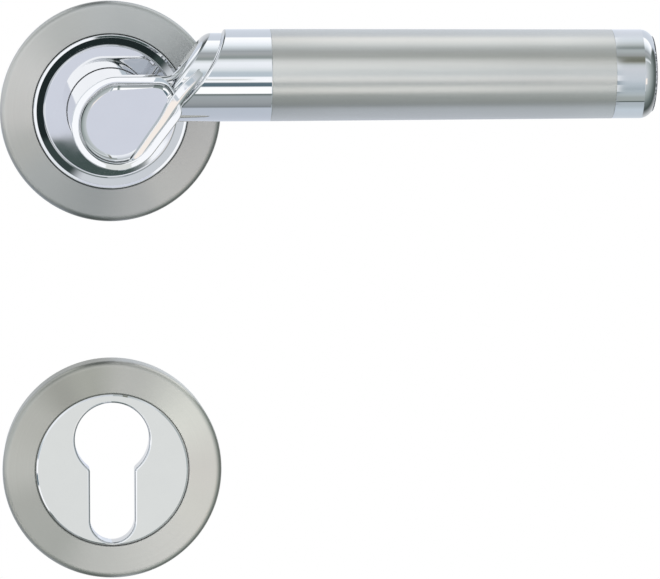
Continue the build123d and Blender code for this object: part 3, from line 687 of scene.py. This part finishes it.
def neck_surface(count=480):
    """Round the bar's axis: a slanting end wall, a soft edge, the neck, a step with a rounded
    edge up to the collar, and the collar's square end."""
    t = np.linspace(0, 2 * np.pi, count, endpoint=False)
    sine = np.sin(t)
    rows = []

    def add(place, radius):
        rows.append((np.broadcast_to(place, (count,)), np.broadcast_to(radius, (count,))))

    wall = NECK_RADIUS - NECK_EDGE
    for share in (0.0, 0.25, 0.5, 0.75, 0.93):
        r = wall * share
        add(neck_slant(r * sine) - 0.5 * MM * (1 - share ** 2), r)
    for turn in np.linspace(0, np.pi / 2, 14):
        r = wall + NECK_EDGE * math.sin(turn)
        add(neck_slant(r * sine) + NECK_EDGE * (1 - math.cos(turn)), r)
    edge_x = neck_slant(NECK_RADIUS * sine) + NECK_EDGE
    step_x = collar_slant(NECK_RADIUS * sine) - 0.02 * MM
    for share in (0.03, 0.35, 0.7, 0.97, 1.0):
        add(edge_x + (np.maximum(step_x, edge_x + 0.5 * MM) - edge_x) * share, NECK_RADIUS)
    collar_x = np.maximum(collar_slant(bar_radius * sine), edge_x + 0.55 * MM)
    ledge = bar_radius - COLLAR_STEP
    add(collar_x + 0.06 * MM, ledge - 0.05 * MM)
    for turn in np.linspace(0, np.pi / 2, 9):
        add(collar_x + 0.08 * MM + COLLAR_STEP * (1 - math.cos(turn)),
            ledge + COLLAR_STEP * math.sin(turn))
    start = collar_x + 0.08 * MM + COLLAR_STEP
    for share in (0.02, 0.3, 0.6, 0.9, 0.985):
        add(start + (collar_end - JOINT_EDGE - start) * share, bar_radius)
    for turn in np.linspace(0, np.pi / 2, 5):
        add(collar_end - JOINT_EDGE * (1 - math.sin(turn)),
            bar_radius - JOINT_EDGE * (1 - math.cos(turn)))
    add(collar_end, SPIGOT)
    add(collar_end + SPIGOT_LENGTH, SPIGOT)
    add(collar_end + SPIGOT_LENGTH, 0.0)
    place = np.stack([p for p, _ in rows], 1)
    radius = np.stack([r for _, r in rows], 1)
    return np.stack([place, -bar_height - radius * np.cos(t)[:, None],
                     bar_rise + radius * sine[:, None]], -1)


neck = skin("lever_neck_and_collar", neck_surface())

# %% The two strands of the ribbon
def strand(name, points, roundings, count=240):
    """A band along a line. Each point gives place, width, thickness and the lean of its face to
    the right and up, in degrees. The section is a box of size one with four corner roundings,
    stretched to the width and thickness, and both ends shrink to a point."""
    line = smooth_line(points, count)
    centre, width, thick = line[:, :3] * MM, line[:, 3] * MM, line[:, 4] * MM
    lean_x, lean_z = np.radians(line[:, 5]), np.radians(line[:, 6])
    ahead = np.gradient(centre, axis=0)
    ahead /= np.linalg.norm(ahead, axis=1)[:, None]
    face = np.stack([np.sin(lean_x), -np.cos(lean_x) * np.cos(lean_z), np.sin(lean_z)], -1)
    side = np.cross(ahead, face)
    side /= np.linalg.norm(side, axis=1)[:, None]
    face = np.cross(side, ahead)
    box = rounded([(-0.5, 0.5), (0.5, 0.5), (0.5, -0.5), (-0.5, -0.5)], roundings, 16, closed=True)
    across, out = box[None, :, 0, None], box[None, :, 1, None]
    body = (centre[:, None] + side[:, None] * across * width[:, None, None]
            + face[:, None] * out * thick[:, None, None])
    body = np.concatenate([np.repeat(centre[:1, None], len(box), 1), body,
                           np.repeat(centre[-1:, None], len(box), 1)])
    return skin(name, body.transpose(1, 0, 2))


# columns: x, y, z, width, thickness, lean to the right, lean up
UPPER = [(3.0, -61.7, 9.93, 1.0, 2.0, 0, -4), (6.0, -61.72, 9.93, 1.34, 2.2, 0, -4),
         (9.5, -61.75, 9.95, 1.34, 2.2, 0, -4), (11.8, -61.6, 10.2, 1.35, 2.2, -6, 2),
         (13.3, -61.2, 11.05, 1.4, 2.1, -14, 8), (14.6, -60.6, 12.3, 1.3, 1.8, -20, 14),
         (15.9, -59.7, 13.9, 0.8, 1.2, -24, 20)]
LOWER = [(-1.8, -60.6, -8.9, 0.5, 1.0, 0, 0), (0.6, -61.2, -9.2, 1.2, 1.7, 5, -5),
         (2.6, -61.7, -8.75, 1.8, 1.9, 7, -6), (4.4, -61.9, -7.15, 2.1, 2.0, 7, -6),
         (7.75, -61.9, -2.55, 2.25, 2.0, 7, -6), (10.4, -61.95, 1.05, 2.5, 2.0, 7, -6),
         (12.4, -62.0, 4.2, 3.0, 2.0, 6, -5), (14.2, -62.05, 6.75, 2.9, 2.0, 1, -1),
         (16.0, -62.1, 8.75, 2.6, 1.9, -1, 0), (17.5, -62.0, 10.25, 2.3, 1.8, -1, 0),
         (18.7, -61.6, 11.45, 2.0, 1.5, -2, 1), (19.6, -60.9, 12.3, 1.2, 1.2, -2, 1)]
upper_strand = strand("ribbon_upper", UPPER, [0.42, 0.42, 0.3, 0.3])
lower_strand = strand("ribbon_lower", LOWER, [0.12, 0.45, 0.2, 0.1])
for piece in (hub, neck, upper_strand, lower_strand):
    fit(piece, chrome_plate, "lever", None)

# %% The shank behind the hub
SHANK_RADIUS, SHANK_LOW, SHANK_TOP = 8.0 * MM, 0.15 * MM, HUB_BACK + 1 * MM
shank_corners = [(0, SHANK_LOW), (SHANK_RADIUS, SHANK_LOW), (SHANK_RADIUS, SHANK_TOP), (0, SHANK_TOP)]
shank_line = dense(rounded(shank_corners, [0, 0.3 * MM, 0.05 * MM, 0], samples=6), 1 * MM)
shank = skin("lever_shank", turned_on_door(shank_line, steps=160))
fit(shank, cast_zinc, "lever", None)
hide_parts("lever_neck")

# %% [markdown]
# Chrome shows the studio more than itself, so the studio is a dome whose brightness goes by bands
# from overhead to underfoot, as soft boxes and dark gaps between them would give. It could be
# lamps and cards placed as objects, but a shader on the world is quicker to tune. The bands'
# tones were read off the real handle's own reflections, seen from the front. So this light suits
# that one view, and from elsewhere or in another scene the chrome looks different. To the camera
# itself the dome is plain white.

# %% The studio's bands
def degrees_ramp(tree, angle, stops):
    """Colour ramp over an angle from -180 to 180 degrees; stops are (degrees, colour)."""
    share = node(tree, "ShaderNodeMapRange", {"Value": angle, "From Min": -math.pi,
                                              "From Max": math.pi})
    ramp = node(tree, "ShaderNodeValToRGB", {"Fac": share.outputs[0]})
    ramp.color_ramp.interpolation = "LINEAR"
    items = ramp.color_ramp.elements
    while len(items) < len(stops):
        items.new(0.5)
    for item, (degrees, colour) in zip(items, sorted(stops)):
        item.position = (degrees + 180) / 360
        item.color = (*colour, 1)
    return ramp.outputs[0]


def math_node(tree, operation, a, b=0.0):
    """One arithmetic node."""
    return node(tree, "ShaderNodeMath", {0: a, 1: b}, operation=operation).outputs[0]


def window(tree, value, low, high, soft):
    """One inside low..high, falling smoothly to zero over soft outside it."""
    rise = node(tree, "ShaderNodeMapRange", {"Value": value, "From Min": low - soft,
                                             "From Max": low}, interpolation_type="SMOOTHSTEP")
    fall = node(tree, "ShaderNodeMapRange", {"Value": value, "From Min": high,
                                             "From Max": high + soft, "To Min": 1.0,
                                             "To Max": 0.0}, interpolation_type="SMOOTHSTEP")
    return math_node(tree, "MULTIPLY", rise.outputs[0], fall.outputs[0])


def degrees_window(tree, value, low, high, soft):
    """A window over an angle, with its limits given in degrees."""
    return window(tree, value, math.radians(low), math.radians(high), math.radians(soft))


def blended(tree, factor, base, colour):
    """Lays a colour over a base where factor is one."""
    mix = node(tree, "ShaderNodeMix", data_type="RGBA")
    tree.links.new(factor, mix.inputs[0])
    tree.links.new(base, mix.inputs[6])
    if isinstance(colour, bpy.types.NodeSocket):
        tree.links.new(colour, mix.inputs[7])
    else:
        mix.inputs[7].default_value = (*colour, 1)
    return mix.outputs[2]


WHITE, COOL, GAP = (1.0, 1.0, 1.0), (0.58, 0.62, 0.68), (0.27, 0.30, 0.295)
BANDS = [(-180, (0.50, 0.53, 0.60)), (-88, (0.46, 0.50, 0.56)), (-84, (0.20, 0.22, 0.23)),
         (-79, (0.25, 0.27, 0.285)), (-70, (0.30, 0.32, 0.33)), (-54, (0.33, 0.36, 0.37)),
         (-50, (0.30, 0.33, 0.34)), (-47.5, (0.12, 0.15, 0.145)), (-45.5, (0.12, 0.15, 0.145)),
         (-43.5, WHITE), (-27, WHITE), (-25, (0.09, 0.14, 0.17)), (-16, (0.12, 0.17, 0.20)),
         (-14.5, (0.95, 0.95, 0.96)), (-2, (0.92, 0.93, 0.95)), (-0.5, (0.46, 0.52, 0.57)),
         (9, (0.47, 0.53, 0.57)), (16, (0.68, 0.72, 0.74)), (24, (0.81, 0.83, 0.86)),
         (34, (0.84, 0.86, 0.89)), (41, (0.66, 0.69, 0.70)), (46, GAP), (50, GAP),
         (56, (0.345, 0.36, 0.36)), (61, (0.35, 0.37, 0.38)), (65, (0.32, 0.34, 0.35)),
         (74, (0.54, 0.58, 0.60)), (84, (0.78, 0.82, 0.85)), (96, (0.94, 0.95, 0.97)),
         (111, WHITE), (114, COOL), (180, COOL)]
# the cap stands furthest to the right and catches another part of the room
CAP_BANDS = [(-180, (0.50, 0.53, 0.57)), (-104, (0.51, 0.57, 0.62)), (-90, (0.42, 0.47, 0.50)),
             (-77, (0.40, 0.44, 0.47)), (-75, (0.06, 0.08, 0.07)), (-73.5, (0.06, 0.08, 0.07)),
             (-72, (0.32, 0.35, 0.34)), (-61, (0.34, 0.37, 0.36)), (-54, (0.41, 0.45, 0.46)),
             (-44, (0.40, 0.45, 0.48)), (-37, (0.36, 0.41, 0.44)), (-24, (0.46, 0.51, 0.55)),
             (-14, (0.53, 0.57, 0.61)), (16, (0.58, 0.60, 0.63)), (24, (0.53, 0.56, 0.57)),
             (32, (0.27, 0.28, 0.25)), (35, (0.17, 0.175, 0.14)), (40, (0.165, 0.17, 0.14)),
             (47, (0.21, 0.22, 0.19)), (49, (0.28, 0.29, 0.28)), (62, (0.38, 0.41, 0.41)),
             (68, (0.37, 0.40, 0.40)), (71, (0.24, 0.27, 0.27)), (75, (0.25, 0.28, 0.27)),
             (84, (0.46, 0.49, 0.49)), (95, (0.61, 0.65, 0.67)), (106, (0.66, 0.70, 0.74)),
             (125, (0.62, 0.65, 0.70)), (180, (0.62, 0.65, 0.72))]
# what the plate sends back of the light, so that the bands are the tones it shows
CHROME_SHARE = 0.67

# %% The dome and its directions
world = bpy.data.worlds.new("studio")
bpy.context.scene.world = world
world.use_nodes = True
sky = world.node_tree
sky.nodes.clear()
direction = node(sky, "ShaderNodeTexCoord").outputs["Generated"]
to_right, away, up = node(sky, "ShaderNodeSeparateXYZ", {0: direction}).outputs
towards = math_node(sky, "MULTIPLY", away, -1.0)
upright = math_node(sky, "ARCTAN2", up, towards)
cone = math_node(sky, "ARCCOSINE", towards)
path = node(sky, "ShaderNodeLightPath")
# the world's ray depth is one more than the mirrors met, so this is a ray that met two or more
twice = math_node(sky, "GREATER_THAN", path.outputs["Ray Depth"], 2.5)


def where_both(a, b):
    """The product of two windows."""
    return math_node(sky, "MULTIPLY", a, b)


def where_either(a, b):
    """The larger of two windows."""
    return math_node(sky, "MAXIMUM", a, b)


studio = degrees_ramp(sky, upright, BANDS)
cap_column = window(sky, to_right, 0.148, 0.20, 0.003)
studio = blended(sky, cap_column, studio, degrees_ramp(sky, upright, CAP_BANDS))
print("studio bands", len(BANDS), "cap bands", len(CAP_BANDS))

# %% Plainer bands close to the view's own column, for the round pieces over the rose
NEAR = [(-180, (0.55, 0.56, 0.58)), (-135, (0.50, 0.52, 0.54)), (-110, (0.07, 0.09, 0.085)),
        (-60, (0.13, 0.155, 0.15)), (-30, (0.26, 0.30, 0.29)), (-17, (0.42, 0.46, 0.45)),
        (-15.5, (0.95, 0.95, 0.96)), (16, (0.93, 0.94, 0.96)),
        (34, (0.74, 0.76, 0.80)), (62, (0.36, 0.39, 0.40)), (90, (0.10, 0.12, 0.12)),
        (112, (0.06, 0.07, 0.07)), (140, (0.50, 0.52, 0.54)), (180, (0.55, 0.56, 0.58))]
near_strip = where_both(window(sky, to_right, 0.03, 0.0445, 0.002),
                        degrees_window(sky, upright, -1, 12, 1))
near_column = where_either(window(sky, to_right, -0.30, 0.036, 0.003), near_strip)
studio = blended(sky, near_column, studio, degrees_ramp(sky, upright, NEAR))

# %% Far to the right and low down, from pale ahead to dark at the side
SIDE = [(-180, (0.60, 0.62, 0.66)), (8, (0.60, 0.62, 0.66)), (30, (0.50, 0.53, 0.54)),
        (60, (0.30, 0.34, 0.33)), (85, (0.13, 0.155, 0.15)), (108, (0.06, 0.075, 0.07)),
        (140, (0.45, 0.46, 0.47)), (180, (0.55, 0.56, 0.57))]
low_or_level = where_either(degrees_window(sky, upright, -230, 34, 6),
                            window(sky, to_right, 0.85, 1.2, 0.1))
far_right = where_both(window(sky, to_right, 0.24, 1.2, 0.05), low_or_level)
studio = blended(sky, far_right, studio, degrees_ramp(sky, cone, SIDE))

# %% [markdown]
# Flat fronts look straight back past the camera, so they show one small patch of the room. A
# pale card hangs there, with a dark table edge and a grey card below it. A warm reflector low on
# the right is for the crossing strand.

# %% Cards behind the camera
CARD, SHADOW = (0.61, 0.63, 0.70), (0.055, 0.078, 0.074)
GREY, WARM = (0.69, 0.70, 0.68), (0.92, 0.84, 0.77)
card_side = where_either(window(sky, to_right, 0.010, 0.043, 0.003),
                         where_both(twice, window(sky, to_right, -0.3, 0.043, 0.003)))
card = where_both(card_side, degrees_window(sky, upright, -3.5, -1.0, 0.1))
studio = blended(sky, card, studio, CARD)
table = where_both(window(sky, to_right, 0.008, 0.034, 0.004),
                   degrees_window(sky, upright, -5.8, -3.6, 0.1))
studio = blended(sky, table, studio, SHADOW)
grey_card = where_both(window(sky, to_right, 0.005, 0.06, 0.003),
                       degrees_window(sky, upright, -10, -6.2, 0.2))
studio = blended(sky, grey_card, studio, GREY)
warm = where_both(window(sky, to_right, 0.215, 0.40, 0.035),
                  degrees_window(sky, upright, -24, -11, 3))
studio = blended(sky, warm, studio, WARM)

# %% [markdown]
# The dish's wall shows the room by way of a second mirror, the floor beside it. Black flags stand
# in a ring round the view, darkest above and to the left, and a pale card low on the right. Only
# a ray that has met two mirrors sees them, which no real room could do, but one room's light
# alone would put the same dark shapes on the bar.

# %% Flags that only a second mirror shows
FLAG, LOW_CARD = (0.02, 0.03, 0.03), (0.86, 0.88, 0.90)
far_out = where_both(degrees_window(sky, cone, 64, 92, 5), twice)
lean = math_node(sky, "ADD", math_node(sky, "MULTIPLY", up, 0.80),
                 math_node(sky, "MULTIPLY", to_right, -0.60))
studio = blended(sky, far_out, studio, SHADOW)
studio = blended(sky, where_both(far_out, window(sky, lean, 0.16, 2.0, 0.12)), studio, FLAG)
low_right = math_node(sky, "SUBTRACT", math_node(sky, "MULTIPLY", to_right, 0.75),
                      math_node(sky, "MULTIPLY", up, 0.66))
low_card = where_both(degrees_window(sky, cone, 60, 95, 6), window(sky, low_right, 0.42, 2.0, 0.2))
studio = blended(sky, where_both(low_card, twice), studio, LOW_CARD)

# %% The light itself, and plain white for the camera
light = node(sky, "ShaderNodeBackground", {"Color": studio, "Strength": 1.0 / CHROME_SHARE})
plain = node(sky, "ShaderNodeBackground", {"Color": (1, 1, 1, 1), "Strength": 1.0})
dome = node(sky, "ShaderNodeMixShader", {0: path.outputs["Is Camera Ray"],
                                         1: light.outputs[0], 2: plain.outputs[0]})
node(sky, "ShaderNodeOutputWorld", {"Surface": dome.outputs[0]})
print("studio nodes", len(sky.nodes))

# %% [markdown]
# A plain pale floor lies well below the handle. It isn't part of the handle, and it is kept out
# of mirror reflections so that the chrome keeps the studio's own lower bands.

# %% Floor
FLOOR_DROP, FLOOR_HALF = 0.30, 0.75
floor_mesh = bpy.data.meshes.new("floor")
floor_corners = [(x * FLOOR_HALF, y * FLOOR_HALF, -FLOOR_DROP)
                 for x, y in ((-1, -1), (1, -1), (1, 1), (-1, 1))]
floor_mesh.from_pydata(floor_corners, [], [(0, 1, 2, 3)])
floor = bpy.data.objects.new("floor", floor_mesh)
bpy.context.scene.collection.objects.link(floor)
floor_paint = dull("floor_paint", (0.80, 0.80, 0.80), (0.84, 0.84, 0.84), 0.0, (0.7, 0.8), 30, 0.02)
floor.data.materials.append(floor_paint)
floor.visible_glossy = False

# %% [markdown]
# The camera stands about a metre away, a little above and to the left of the spindle, and looks
# slightly down and to the right. From there both roses and the whole bar fill the frame.

# %% Camera
CAMERA_PLACE = (-0.02847, -1.0, 0.05519)
AIM = (0.05216, 0.0, -0.04309)
LENS, SENSOR = 231.41, 36.0
lens = bpy.data.cameras.new("camera")
lens.lens, lens.sensor_width = LENS, SENSOR
lens.clip_start, lens.clip_end = 0.05, 20.0
camera = bpy.data.objects.new("camera", lens)
bpy.context.scene.collection.objects.link(camera)
camera.location = CAMERA_PLACE
look = Vector(AIM) - Vector(CAMERA_PLACE)
camera.rotation_euler = look.to_track_quat("-Z", "Y").to_euler()
bpy.context.scene.camera = camera
bpy.context.scene.view_settings.view_transform = "Standard"
print("camera", CAMERA_PLACE, "lens", LENS)
